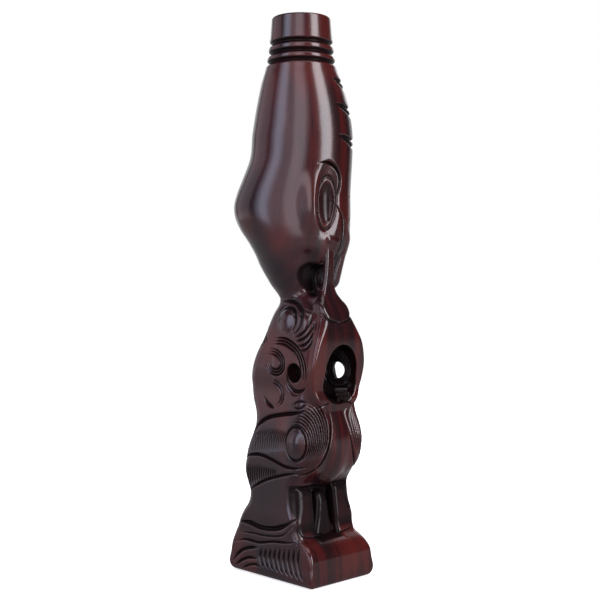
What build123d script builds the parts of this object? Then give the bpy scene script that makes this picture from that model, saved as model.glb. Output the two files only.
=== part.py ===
from build123d import *
import os

# Carved wooden tiki figure: one billet of dark wood with a felt pad under its foot.
# Millimetres, +Z up, origin at the centre of the underside. The body faces -Y.
# The head is turned towards the figure's left, so it is built facing -Y and then turned.

# Driving dimensions
HEIGHT = 400.0
FOOT_WIDTH = 60.6
FOOT_DEPTH = 82.8
FOOT_HEIGHT = 29.0
FOOT_CORNER = 5.0
FOOT_EDGE = 3.0
FOOT_SLOPE_DROP = 9.0
FOOT_TOP_INSET_WIDTH = 8.0
FOOT_TOP_INSET_DEPTH = 12.0
HEAD_TURN = 38.0

# How far body, post and belly run into the piece below or beside them
OVERLAP = 3.0

# Felt pad and the recess it is glued into
PAD_THICKNESS = 1.6
PAD_PROUD = 0.4
PAD_INSET = 5.0
PAD_CLEARANCE = 0.3
PAD_CORNER = 8.0

# Crown: three turned rings above the forehead
CROWN_BOTTOM = 362.0
CROWN_RADIUS_TOP = 20.6
CROWN_RADIUS_BOTTOM = 25.6
CROWN_OFFSET = 0.9
CROWN_EDGE = 1.6
RING_GROOVES = (380.6, 373.6, 366.9)
RING_GROOVE_WIDTH = 3.0
RING_GROOVE_DEPTH = 1.7

# Through hole under each arm, and the hollow between the arms
ARM_HOLE_RADIUS = 5.6
ARM_HOLE_Y = -21.0
ARM_HOLE_Z = 146.8

HOLLOW_X = 2.0
HOLLOW_Z = 147.5
HOLLOW_HALF_WIDTH = 16.0
HOLLOW_HALF_HEIGHT = 20.0
HOLLOW_BACK = -11.0

# Lower mouth of the hollow, over the belly
MOUTH_Z = 138.5
MOUTH_HALF_HEIGHT = 13.5
MOUTH_BACK = -21.0

# Sunk eyes, on either side of the line the head faces along
EYE_CENTRE = (24.0, -24.2, 266.0)
EYE_HALF_WIDTH = 8.0
EYE_HALF_HEIGHT = 16.5
EYE_DEPTH = 2.4
EYE_ANGLE = 49.0

# Lines cut in pairs across the forehead: upper line's height and reach of the forehead
FOREHEAD_LINES = ((353.0, 30.0), (334.0, 34.8), (311.0, 37.8))
FOREHEAD_LINE_RADIUS = 1.7
FOREHEAD_LINE_WIDTH = 30.0
FOREHEAD_LINE_DROP = 4.5

# Gap between the legs
LEG_GAP = 20.0
LEG_GAP_BACK = -16.0
LEG_GAP_TOP = 65.0

# Gap behind the tongue
TONGUE_GAP_FRONT = -27.5
TONGUE_GAP_BACK = -13.5
TONGUE_GAP_BOTTOM = 201.0
TONGUE_GAP_TOP = 222.0
TONGUE_GAP_CORNER = 6.5

# Bands cut in each flank and in the foot: how deep they go, then for each
# its middle (y, z), the reach of the flank there, and its outer and inner radius
BAND_DEPTH = 1.5
FLANK_BANDS = (
    (2.0, 160.0, 25.0, 15.0, 13.2),
    (-12.0, 96.0, 30.2, 22.0, 20.0),
)
FOOT_BANDS = ((8.0, 12.0, FOOT_WIDTH / 2, 10.0, 8.4),)

# Head sections, facing -Y: height, back reach, face reach, half width
HEAD_SECTIONS = (
    (198.0, 12.0, 12.0, 12.0),
    (207.0, 20.0, 15.0, 17.5),
    (222.0, 29.0, 24.5, 26.0),
    (237.0, 36.5, 34.0, 30.5),
    (252.0, 45.5, 36.3, 32.3),
    (265.0, 48.0, 36.5, 33.0),
    (283.0, 42.2, 36.9, 34.0),
    (300.0, 36.2, 37.8, 34.0),
    (318.0, 34.4, 37.8, 33.4),
    (343.0, 30.0, 33.2, 29.4),
    (CROWN_BOTTOM + OVERLAP, 24.2, 26.0, 25.1),
)

# Body sections: height, half width, back reach, front reach, corner radius
BODY_SECTIONS = (
    (FOOT_HEIGHT - OVERLAP, 29.4, 39.0, 32.0, 7.0),
    (40.0, 30.2, 33.8, 27.0, 7.0),
    (55.0, 29.9, 27.2, 25.2, 9.0),
    (67.0, 29.8, 29.8, 24.2, 10.0),
    (76.0, 29.8, 31.8, 29.0, 11.0),
    (86.0, 29.6, 31.8, 35.5, 12.0),
    (100.0, 29.0, 26.4, 38.5, 12.5),
    (112.0, 27.6, 24.2, 37.5, 12.5),
    (126.0, 25.8, 29.2, 36.2, 12.5),
    (141.0, 26.0, 30.2, 36.8, 11.0),
    (153.0, 26.0, 27.2, 37.0, 11.0),
    (166.0, 24.0, 21.2, 37.0, 11.0),
    (178.0, 21.8, 16.4, 34.0, 11.0),
    (188.0, 18.5, 13.6, 28.0, 11.0),
    (200.0, 13.0, 12.5, 15.0, 10.0),
    (222.0, 16.0, 17.0, 11.0, 10.0),
)

# Rounded lumps added to the body and face: centre, then radii
BELLY = ((0, -21.0, 97.0), (21.0, 20.4, 31.0))
THIGH = ((-18.0, -3.0, 92.0), (12.4, 32.0, 17.0))
KNEE_BOSS = ((-21.8, -25.6, 98.5), (9.8, 10.6, 12.0))
SHOULDER_BOSS = ((-14.2, -7.6, 180.0), (9.4, 11.4, 13.5))
MUZZLE = ((0, -22.4, 227.0), (9.0, 13.0, 26.0))

# Levels at which a lump's outline is drawn, as parts of its half height
LUMP_LEVELS = (-0.96, -0.8, -0.45, 0.0, 0.45, 0.8, 0.96)

# Tongue seen from the front (x, z; one half) and from the side (y, z)
TONGUE_FRONT = (
    (-3.8, 242.0), (-4.4, 213.0), (-5.6, 206.5), (-9.8, 198.5), (-13.6, 192.0),
    (-12.6, 187.0), (-8.0, 184.2), (0.0, 183.6),
)
TONGUE_SIDE = (
    (-20.0, 242.0), (-31.4, 242.0), (-30.8, 210.0), (-31.6, 202.0), (-35.2, 194.5),
    (-38.4, 189.0), (-39.6, 183.0), (-24.0, 183.0),
)

# Chest and arms seen from the front (x, z; one half) and from the side (y, z)
CHEST_FRONT = (
    (-8.0, 198.0), (-13.6, 188.0), (-18.0, 178.0), (-22.0, 170.0), (-25.2, 159.0),
    (-25.8, 150.0), (-25.0, 142.0), (-23.0, 134.0), (-19.8, 125.0), (-14.0, 119.0),
)
CHEST_SIDE = (
    (-10.0, 200.0), (-28.0, 199.0), (-33.0, 194.0), (-38.0, 188.0), (-41.0, 179.0),
    (-41.8, 168.0), (-40.6, 154.0), (-38.6, 141.0), (-38.0, 128.0), (-34.0, 118.0), (-10.0, 116.0),
)

# Post between the legs: height, half width, front reach, corner radius
POST_BACK = -8.0
POST_CORNER_SHARE = 0.45
POST_SECTIONS = (
    (FOOT_HEIGHT - OVERLAP, 11.5, 26.2, 5.5),
    (38.0, 9.0, 25.2, 5.0),
    (50.0, 6.2, 24.6, 4.5),
    (58.0, 5.0, 23.2, 4.0),
    (63.0, 3.6, 20.0, 3.0),
)


def rounded_lump(centre, radii):
    """Egg-like lump with flat ends, lofted through level ellipses."""
    x, y, z = centre
    outlines = []
    for level in LUMP_LEVELS:
        spread = (1.0 - level * level) ** 0.5
        outline = Ellipse(radii[0] * spread, radii[1] * spread)
        outlines.append(Pos(x, y, z + radii[2] * level) * outline)
    return loft(outlines)


def mirrored(solid):
    """The solid and its mirror image across the middle plane."""
    return [solid, mirror(solid, about=Plane.YZ)]


def foot_block():
    """Foot block with a soft lower edge and toes that slope to the front."""
    sections = (
        (PAD_PROUD, FOOT_WIDTH - FOOT_EDGE, FOOT_DEPTH - FOOT_EDGE),
        (PAD_PROUD + FOOT_EDGE, FOOT_WIDTH, FOOT_DEPTH),
        (FOOT_HEIGHT - FOOT_SLOPE_DROP, FOOT_WIDTH - FOOT_EDGE / 3, FOOT_DEPTH - FOOT_EDGE),
        (FOOT_HEIGHT, FOOT_WIDTH - FOOT_TOP_INSET_WIDTH, FOOT_DEPTH - FOOT_TOP_INSET_DEPTH),
    )
    outlines = [Pos(0, 0, z) * RectangleRounded(w, d, FOOT_CORNER) for z, w, d in sections]
    return loft(outlines, ruled=True)


def body_column():
    """The back, hips, waist and chest as one smooth column."""
    outlines = []
    for z, half_width, back, front, corner in BODY_SECTIONS:
        outline = RectangleRounded(2 * half_width, back + front, corner)
        outlines.append(Pos(0, (back - front) / 2, z) * outline)
    return loft(outlines)


def head():
    """Tall head with a pointed nape, facing -Y."""
    outlines = []
    for z, back, face, half_width in HEAD_SECTIONS:
        outlines.append(Pos(0, (back - face) / 2, z) * Ellipse(half_width, (back + face) / 2))
    return loft(outlines)


def crown():
    """Flat-topped crown with three V grooves turned round it, facing -Y."""
    half = RING_GROOVE_WIDTH / 2
    rise = HEIGHT - CROWN_BOTTOM
    shrink = CROWN_RADIUS_BOTTOM - CROWN_RADIUS_TOP

    def radius(z):
        return CROWN_RADIUS_BOTTOM - shrink * (z - CROWN_BOTTOM) / rise

    outline = [(0, HEIGHT), (CROWN_RADIUS_TOP - CROWN_EDGE, HEIGHT), (CROWN_RADIUS_TOP, HEIGHT - CROWN_EDGE)]
    for z in RING_GROOVES:
        outline.append((radius(z + half), z + half))
        outline.append((radius(z) - RING_GROOVE_DEPTH, z))
        outline.append((radius(z - half), z - half))
    outline += [(CROWN_RADIUS_BOTTOM, CROWN_BOTTOM), (0, CROWN_BOTTOM)]
    profile = make_face(Plane.XZ * Polyline(*outline, close=True))
    return Pos(0, -CROWN_OFFSET, 0) * revolve(profile, Axis.Z)


def muzzle():
    """Raised leaf-shaped mouth below the eyes, facing -Y."""
    return rounded_lump(*MUZZLE)


def eye_hollows():
    """Sunk almond eye on each side of the face, facing -Y."""
    reach = 10.0
    x, y, z = EYE_CENTRE
    eye = extrude(Plane.XZ * Pos(0, 0, reach) * Ellipse(EYE_HALF_WIDTH, EYE_HALF_HEIGHT), -reach - EYE_DEPTH)
    return mirrored(Pos(-x, y, z) * Rot(Z=-EYE_ANGLE) * eye)


def forehead_grooves():
    """Three pairs of lines cut across the forehead, facing -Y."""
    grooves = []
    for z, reach in FOREHEAD_LINES:
        front = Pos(0, -reach, 0) * Box(FOREHEAD_LINE_WIDTH, reach, 6 * FOREHEAD_LINE_RADIUS)
        for drop in (0.0, FOREHEAD_LINE_DROP):
            grooves.append(Pos(0, 0, z - drop) * (Torus(reach, FOREHEAD_LINE_RADIUS) & front))
    return grooves


def carved_relief(front_outline, side_outline):
    """Relief with one outline seen from the front and another seen from the side."""
    reach = 80.0
    mirror_points = [(-x, z) for x, z in reversed(front_outline) if x < 0.0]
    front_face = make_face(Plane.XZ * Polyline(*front_outline, *mirror_points, close=True))
    side_face = make_face(Plane.YZ * Polyline(*side_outline, close=True))
    return extrude(front_face, reach, both=True) & extrude(side_face, reach, both=True)


def tongue():
    """Strap that runs from the chin down to a rounded end on the chest."""
    return carved_relief(TONGUE_FRONT, TONGUE_SIDE)


def chest():
    """Raised chest that runs down into the arms on either side of the hollow."""
    return carved_relief(CHEST_FRONT, CHEST_SIDE)


def hips_and_knees():
    """Bent thigh on each side with the round knee boss at its front."""
    return mirrored(rounded_lump(*THIGH) + rounded_lump(*KNEE_BOSS))


def shoulder_bosses():
    """Round boss on the outside of each shoulder."""
    return mirrored(rounded_lump(*SHOULDER_BOSS))


def leg_gap():
    """The gap between the legs, up to the underside of the belly."""
    reach = 40.0
    height = LEG_GAP_TOP - FOOT_HEIGHT
    return Pos(0, LEG_GAP_BACK - reach / 2, FOOT_HEIGHT + height / 2) * Box(LEG_GAP, reach, height)


def post():
    """Tapered post that stands on the foot between the legs."""
    outlines = []
    for z, half_width, front, corner in POST_SECTIONS:
        depth = front + POST_BACK
        outline = RectangleRounded(2 * half_width, depth, min(corner, POST_CORNER_SHARE * depth))
        outlines.append(Pos(0, (POST_BACK - front) / 2, z) * outline)
    return loft(outlines)


def side_carving(sizes):
    """Shallow half-round bands cut in each flank."""
    length = 10.0
    bands = []
    for y, z, flank, outer, inner in sizes:
        ring = Cylinder(outer, length) - Cylinder(inner, 2 * length)
        half = ring & Pos(0, outer, 0) * Box(4 * outer, 2 * outer, 2 * length)
        bands += mirrored(Pos(BAND_DEPTH - flank - length / 2, y, z) * Rot(Y=90) * half)
    return bands


def pad_outline(margin):
    """Outline of the felt pad, grown by a margin."""
    width = FOOT_WIDTH - 2 * PAD_INSET + 2 * margin
    depth = FOOT_DEPTH - 2 * PAD_INSET + 2 * margin
    return RectangleRounded(width, depth, PAD_CORNER + margin)


def tongue_gap():
    """Opening through the neck behind the tongue."""
    depth = TONGUE_GAP_BACK - TONGUE_GAP_FRONT
    height = TONGUE_GAP_TOP - TONGUE_GAP_BOTTOM
    gap = extrude(Plane.YZ * RectangleRounded(depth, height, TONGUE_GAP_CORNER), 40.0, both=True)
    return Pos(0, TONGUE_GAP_BACK - depth / 2, TONGUE_GAP_BOTTOM + height / 2) * gap


def chest_hollow():
    """Oval hollow between the arms, with a shallower mouth over the belly."""
    reach = 60.0
    hollow = Plane.XZ * Pos(HOLLOW_X, HOLLOW_Z, reach) * Ellipse(HOLLOW_HALF_WIDTH, HOLLOW_HALF_HEIGHT)
    mouth = Plane.XZ * Pos(HOLLOW_X, MOUTH_Z, reach) * Ellipse(HOLLOW_HALF_WIDTH, MOUTH_HALF_HEIGHT)
    return [extrude(hollow, -(reach + HOLLOW_BACK)), extrude(mouth, -(reach + MOUTH_BACK))]


def arm_hole():
    """Round hole through the figure under both arms."""
    return Pos(0, ARM_HOLE_Y, ARM_HOLE_Z) * Rot(Y=90) * Cylinder(ARM_HOLE_RADIUS, 80.0)


def carve(solid, cuts):
    """The solid with each cut taken out of it in turn."""
    for cut in cuts:
        solid -= cut
    return solid


def finished_head():
    """Head, crown and muzzle with the face cut in, turned to the figure's left."""
    face_cuts = eye_hollows() + forehead_grooves()
    carved = Rot(Z=HEAD_TURN) * (carve(head(), face_cuts) + crown())
    return carve(carved, [tongue_gap()]) + Rot(Z=HEAD_TURN) * muzzle()


def finished_torso():
    """Back, hips, chest and arms, pierced under the arms and hollow between them."""
    column = carve(body_column(), [tongue_gap(), leg_gap()])
    return carve(column + chest(), chest_hollow() + [arm_hole()] + side_carving(FLANK_BANDS))


def carved_figure():
    """The whole carving, cut from one billet."""
    pad_recess = extrude(pad_outline(PAD_CLEARANCE), PAD_THICKNESS)
    foot = carve(foot_block(), [pad_recess] + side_carving(FOOT_BANDS))
    lower = [foot, rounded_lump(*BELLY), post()] + hips_and_knees()
    upper = shoulder_bosses() + [finished_head(), tongue()]
    figure = finished_torso()
    for piece in lower + upper:
        figure += piece
    return figure


def felt_pad():
    """Felt pad, a little proud of the wood."""
    return extrude(pad_outline(0.0), PAD_THICKNESS)


NODES = {
    "carved_figure": carved_figure,
    "felt_pad": felt_pad,
}

os.makedirs("parts", exist_ok=True)
for name, make in NODES.items():
    solid = make()
    export_step(solid, os.path.join("parts", name + ".step"))
    print(name, len(solid.solids()), round(solid.volume), solid.bounding_box())
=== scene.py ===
import math

import bmesh
import bpy
import numpy as np
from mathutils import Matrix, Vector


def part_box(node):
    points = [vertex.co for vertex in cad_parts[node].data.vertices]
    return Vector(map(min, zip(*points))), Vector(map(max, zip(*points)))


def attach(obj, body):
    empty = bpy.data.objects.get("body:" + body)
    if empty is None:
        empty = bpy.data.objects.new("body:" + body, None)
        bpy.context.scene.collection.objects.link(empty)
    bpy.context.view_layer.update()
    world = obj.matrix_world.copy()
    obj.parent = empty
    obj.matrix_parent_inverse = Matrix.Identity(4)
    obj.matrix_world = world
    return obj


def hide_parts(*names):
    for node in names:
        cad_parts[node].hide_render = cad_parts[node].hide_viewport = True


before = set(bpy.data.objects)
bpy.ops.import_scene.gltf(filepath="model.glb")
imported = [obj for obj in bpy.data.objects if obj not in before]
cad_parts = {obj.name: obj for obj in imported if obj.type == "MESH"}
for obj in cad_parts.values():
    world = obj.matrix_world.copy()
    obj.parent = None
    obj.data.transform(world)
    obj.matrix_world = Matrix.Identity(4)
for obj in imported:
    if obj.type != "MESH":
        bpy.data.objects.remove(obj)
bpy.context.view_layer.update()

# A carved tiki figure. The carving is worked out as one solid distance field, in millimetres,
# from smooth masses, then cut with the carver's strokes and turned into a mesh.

import openvdb
from mathutils import Vector

MM = 0.001

# ---------------------------------------------------------------- distance field, in millimetres
# Grid step, room round the figure, and the value that stands for far outside it
VOXEL = 0.42
FIELD_MARGIN = 6.0
EMPTY = 40.0
TINY = 1e-6

# Strokes are worked out only this far outside the surface, and this deep below it
SURFACE_BAND = 3.0 * VOXEL
CUT_DEEPEST = 2.6

# The mesh is made from distances up to a band, then its points are settled on the surface
MESH_BAND = 8.0
SETTLE_PASSES = 2
SETTLE_REACH = 0.3

# Range of depth below the uncut form that is stored for the stain and the painted shade. Above the form is
# negative
STAIN_AND_SHADE_RANGE = (-1.0, 8.0)

# ---------------------------------------------------------------- driving sizes, from the frame
FIGURE_LOW, FIGURE_HIGH = (np.array(corner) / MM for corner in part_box("carved_figure"))
PAD_LOW, PAD_HIGH = (np.array(corner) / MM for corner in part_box("felt_pad"))
HEIGHT = float(FIGURE_HIGH[2])
WOOD_BOTTOM = float(FIGURE_LOW[2])
PAD_INSET = 5.0
PAD_CLEARANCE = 0.3
FOOT_X = float(PAD_HIGH[0]) + PAD_INSET
FOOT_Y = float(PAD_HIGH[1]) + PAD_INSET

# Turn of the head towards the figure's left, and the radius that distances round the face are read at
HEAD_TURN = math.radians(38.0)
FACE_RADIUS = 36.0

# Foot: height, half width, back reach, front reach, corner radius
FOOT_ROWS = (
    (WOOD_BOTTOM, FOOT_X - 0.8, FOOT_Y - 1.0, FOOT_Y + 0.6, 2.2),
    (2.6, FOOT_X + 0.4, FOOT_Y, FOOT_Y + 1.4, 1.4),
    (14.0, FOOT_X + 0.4, FOOT_Y, FOOT_Y + 1.4, 1.4),
    (22.0, FOOT_X - 0.1, FOOT_Y - 0.8, FOOT_Y - 0.2, 2.6),
    (27.0, FOOT_X - 0.8, FOOT_Y - 1.8, FOOT_Y - 4.5, 4.0),
    (31.0, FOOT_X - 1.4, FOOT_Y - 3.0, FOOT_Y - 11.0, 5.0),
    (34.0, FOOT_X - 2.5, FOOT_Y - 4.5, FOOT_Y - 16.0, 6.0),
)

# Body: height, half width, back reach, front reach, corner radius
BODY_ROWS = (
    (24.0, 29.6, 39.5, 34.0, 7.0),
    (36.0, 30.3, 36.2, 27.5, 7.0),
    (44.0, 30.4, 31.6, 26.6, 7.0),
    (52.0, 30.0, 27.6, 25.6, 10.0),
    (60.0, 29.8, 27.0, 24.6, 10.5),
    (67.0, 29.8, 29.8, 24.2, 10.0),
    (74.0, 29.8, 31.6, 28.0, 9.5),
    (83.0, 29.8, 32.1, 35.8, 12.0),
    (91.0, 29.5, 30.6, 39.4, 12.5),
    (100.0, 29.2, 26.4, 40.5, 12.5),
    (108.0, 28.2, 24.0, 39.5, 12.5),
    (117.0, 26.8, 25.3, 37.4, 12.5),
    (126.0, 25.8, 29.2, 36.4, 12.5),
    (135.0, 25.6, 30.3, 36.5, 12.0),
    (143.0, 26.0, 30.0, 37.0, 11.0),
    (152.0, 26.2, 27.6, 37.2, 11.0),
    (160.0, 25.4, 24.4, 37.2, 11.0),
    (169.0, 23.6, 19.8, 37.0, 11.0),
    (178.0, 22.0, 16.4, 34.5, 11.0),
    (187.0, 19.5, 13.5, 30.0, 11.0),
    (196.0, 14.5, 11.5, 20.0, 10.0),
    (205.0, 12.5, 15.0, 12.0, 9.0),
    (216.0, 16.0, 20.0, 11.0, 10.0),
    (228.0, 20.0, 24.0, 12.0, 12.0),
)

# Chest and arms, a raised plane in front of the body
CHEST_ROWS = (
    (118.0, 14.0, 0.0, 34.0, 5.0),
    (125.0, 19.8, 0.0, 38.3, 4.0),
    (136.0, 23.5, 0.0, 38.0, 2.0),
    (144.0, 25.4, 0.0, 39.0, 2.0),
    (152.0, 25.8, 0.0, 40.3, 2.0),
    (160.0, 24.8, 0.0, 41.2, 2.4),
    (170.0, 22.0, 0.0, 41.8, 3.4),
    (176.0, 19.2, 0.0, 41.4, 4.5),
    (182.0, 16.2, 0.0, 40.4, 5.0),
    (188.0, 13.6, 0.0, 38.0, 5.0),
    (194.0, 10.0, 0.0, 32.8, 5.0),
    (202.0, 7.0, 0.0, 27.0, 4.0),
)

# Tongue: a strap that flares to a round end on the chest
TONGUE_ROWS = (
    (184.0, 8.0, -25.0, 39.6, 3.4),
    (186.5, 12.4, -25.0, 39.1, 3.4),
    (190.5, 13.8, -25.0, 37.4, 3.4),
    (194.5, 12.8, -25.0, 35.2, 3.0),
    (198.5, 9.8, -26.0, 32.8, 2.6),
    (202.5, 7.2, -26.5, 31.2, 2.2),
    (207.0, 5.4, -27.0, 30.6, 1.8),
    (213.0, 4.4, -27.0, 30.8, 1.6),
    (222.0, 3.8, -26.5, 31.2, 1.6),
    (240.0, 3.7, -20.0, 31.4, 1.6),
)

# Post between the legs, standing on the foot
POST_ROWS = (
    (24.0, 12.0, 0.0, 26.5, 6.0),
    (34.0, 10.4, 0.0, 25.4, 5.5),
    (42.0, 7.8, 0.0, 24.8, 5.0),
    (50.0, 6.2, 0.0, 24.4, 4.5),
    (57.0, 5.2, 0.0, 23.4, 4.2),
    (62.0, 3.8, 0.0, 20.5, 3.4),
)

# Reach of the painted shade over the fronts of the legs, under the belly
LEG_SHADE_ROWS = (
    (32.0, 29.6, 0.0, 28.4, 6.0),
    (40.0, 29.7, 0.0, 27.6, 6.0),
    (52.0, 29.4, 0.0, 26.1, 7.0),
    (62.0, 29.2, 0.0, 25.1, 7.0),
    (69.0, 29.2, 0.0, 25.7, 7.0),
)

# Head in its own turned axes: height, back reach, face reach, half width
HEAD_ROWS = (
    (198.0, 12.0, 12.0, 12.0),
    (206.0, 19.5, 14.0, 17.0),
    (214.0, 24.5, 18.0, 21.5),
    (222.0, 29.0, 24.0, 26.0),
    (230.0, 32.5, 31.0, 29.0),
    (239.0, 37.5, 34.6, 31.0),
    (248.0, 43.5, 36.0, 32.0),
    (256.0, 47.0, 36.5, 32.5),
    (265.0, 48.0, 36.5, 33.0),
    (274.0, 45.8, 36.5, 33.5),
    (283.0, 42.2, 36.9, 34.0),
    (299.0, 36.2, 37.8, 34.0),
    (317.0, 34.4, 37.9, 33.5),
    (330.0, 32.4, 36.2, 31.6),
    (343.0, 30.0, 33.2, 29.4),
    (355.0, 27.4, 29.6, 26.8),
    (365.0, 24.6, 26.2, 24.6),
    (381.0, 22.0, 23.8, 22.8),
    (396.0, 20.8, 22.6, 21.7),
    (HEIGHT, 20.6, 22.3, 21.4),
)

# Lumps and hollows of the body, as centre and radii. Those off the middle are mirrored
SHOULDER = (14.5, -7.3, 180.5), (8.8, 10.5, 11.5)
THIGH = (16.6, -21.6, 97.0), (13.0, 18.6, 25.0)
KNEE_BOSS = (23.6, -25.6, 98.5), (7.8, 8.4, 10.6)
BELLY = (0.0, -21.0, 96.0), (21.0, 20.4, 30.5)
NECK_GAP = (4.0, -20.6, 211.5), (20.0, 7.2, 10.4)
JAW_HOLLOW = (16.5, -24.5, 219.0), (7.5, 6.5, 12.0)

# Hollow between the arms, a little off the middle, and its mouth over the belly
HOLLOW_SIDE = 2.0
HOLLOW = (HOLLOW_SIDE, -32.0, 147.5), (16.4, 22.0, 20.5)
HOLLOW_MOUTH = (HOLLOW_SIDE, -37.0, 138.5), (16.2, 17.0, 13.5)

# Fingers on each side of the hollow: knuckle and tip of the lowest, and the step to the next
KNUCKLE = np.array((13.5, -37.0, 128.0))
KNUCKLE_STEP = np.array((0.0, 2.16, 2.88))
FINGERTIP = np.array((6.5, -32.0, 127.0))
FINGERTIP_STEP = np.array((0.0, 1.44, 3.24))
FINGERS = 3
FINGER_RADIUS = 1.7

# Hole through each arm: where it is, how far out it is narrowest, its radius there, and how much
# it widens for each millimetre away from there. The slope keeps distances true on a flared hole
ARM_HOLE_Y = -21.0
ARM_HOLE_Z = 146.8
ARM_HOLE_WAIST = 18.5
RIGHT_HOLE_RADIUS = 5.2
LEFT_HOLE_RADIUS = 5.7
HOLE_FLARE = 0.2
LEFT_OUTER_FLARE = 0.62
HOLE_SLOPE = 0.9

# Gap between the legs
LEG_GAP_HALF = 10.0
LEG_GAP_BACK = -16.0
LEG_GAP_MIDDLE = 48.0
LEG_GAP_REACH = 17.0

# Face, in the head's own axes. The cheek bone is (forward, side, height) and radii. Each eye cut is
# (distance from the head's axis, height) and radii round, outwards and up, at the eye's angle
CHEEK_BONE = (11.5, 25.5, 266.0), (8.0, 8.0, 20.0)
EYE_FACET = (36.6, 265.0), (11.5, 5.6, 30.0)
EYE_DISH = (33.0, 265.5), (6.5, 4.2, 14.6)
# A slightly larger dish, which leaves painted shade in the bottom of each eye
EYE_DISH_SHADED = (33.0, 265.5), (6.9, 4.8, 15.2)

# Eye's middle as (distance round the face, height), its half sizes, and its angle in radians
EYE_CENTRE = (29.5, 265.5)
EYE_HALF = (7.6, 16.4)
EYE_TURN = EYE_CENTRE[0] / FACE_RADIUS

# Muzzle, a rod from (forward, height) to (forward, height), squashed sideways
MUZZLE = (26.6, 240.0), (20.3, 213.0)
MUZZLE_RADIUS = 8.8
MUZZLE_SQUASH = 0.8

# Lip across the top of the tongue, from end to end
LIP = (-2.4, -30.8, 240.0), (4.2, -30.8, 238.6)
LIP_RADIUS = 2.4

# Rings turned in the crown: heights, width and depth
RING_GROOVES = (380.6, 373.6, 366.9)
RING_WIDTH = 4.6
RING_DEPTH = 2.5


# ---------------------------------------------------------------- distance-field tools
def smooth_rows(rows, z):
    """Each column of a table, read at heights z along one smooth curve through its rows."""
    rows = np.array(rows)
    knots = rows[:, 0]
    z = np.clip(z, knots[0], knots[-1])
    i = np.clip(np.searchsorted(knots, z) - 1, 0, len(knots) - 2)
    gap = knots[i + 1] - knots[i]
    t = (z - knots[i]) / gap
    columns = []
    for values in rows[:, 1:].T:
        slope = np.gradient(values, knots)
        a, b = values[i], values[i + 1]
        ma, mb = slope[i] * gap, slope[i + 1] * gap
        columns.append(
            (2 * t**3 - 3 * t**2 + 1) * a
            + (t**3 - 2 * t**2 + t) * ma
            + (3 * t**2 - 2 * t**3) * b
            + (t**3 - t**2) * mb
        )
    return [column.astype(np.float32) for column in columns]


def smooth_union(a, b, blend):
    """a and b joined, with a fillet of about a blend's width."""
    h = np.clip(0.5 + 0.5 * (b - a) / blend, 0.0, 1.0)
    return b + (a - b) * h - blend * h * (1.0 - h)


def smooth_cut(a, b, blend):
    """a with b taken out of it."""
    return -smooth_union(-a, b, blend)


def rounded_column(x, y, z, rows, blend=1.0):
    """Upright column of rounded rectangles given by a table, closed at its ends."""
    half, back, front, corner = smooth_rows(rows, z)
    middle = (back - front) / 2
    depth = (back + front) / 2
    qx = np.abs(x) - (half - corner)
    qy = np.abs(y - middle) - (depth - corner)
    outside = np.sqrt(np.maximum(qx, 0.0) ** 2 + np.maximum(qy, 0.0) ** 2)
    d = outside + np.minimum(np.maximum(qx, qy), 0.0) - corner
    ends = np.maximum(rows[0][0] - z, z - rows[-1][0])
    return -smooth_union(-d, -ends + 0.0 * d, blend)


def ellipsoid(x, y, z, centre, radii):
    """Near distance to an ellipsoid."""
    px, py, pz = (x - centre[0]) / radii[0], (y - centre[1]) / radii[1], (z - centre[2]) / radii[2]
    k = np.sqrt(px**2 + py**2 + pz**2) + TINY
    slope = np.sqrt((px / radii[0]) ** 2 + (py / radii[1]) ** 2 + (pz / radii[2]) ** 2) + TINY
    return k * (k - 1.0) / slope


def capsule(x, y, z, start, end, radius):
    """Distance to a rod with round ends."""
    a, b = np.array(start), np.array(end)
    span = b - a
    px, py, pz = x - a[0], y - a[1], z - a[2]
    t = np.clip((px * span[0] + py * span[1] + pz * span[2]) / span.dot(span), 0.0, 1.0)
    return np.sqrt((px - t * span[0]) ** 2 + (py - t * span[1]) ** 2 + (pz - t * span[2]) ** 2) - radius


def head_axes(x, y):
    """How far forward along the face, and how far to its side, a point lies."""
    forward = x * math.sin(HEAD_TURN) - y * math.cos(HEAD_TURN)
    side = x * math.cos(HEAD_TURN) + y * math.sin(HEAD_TURN)
    return forward, side


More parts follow.
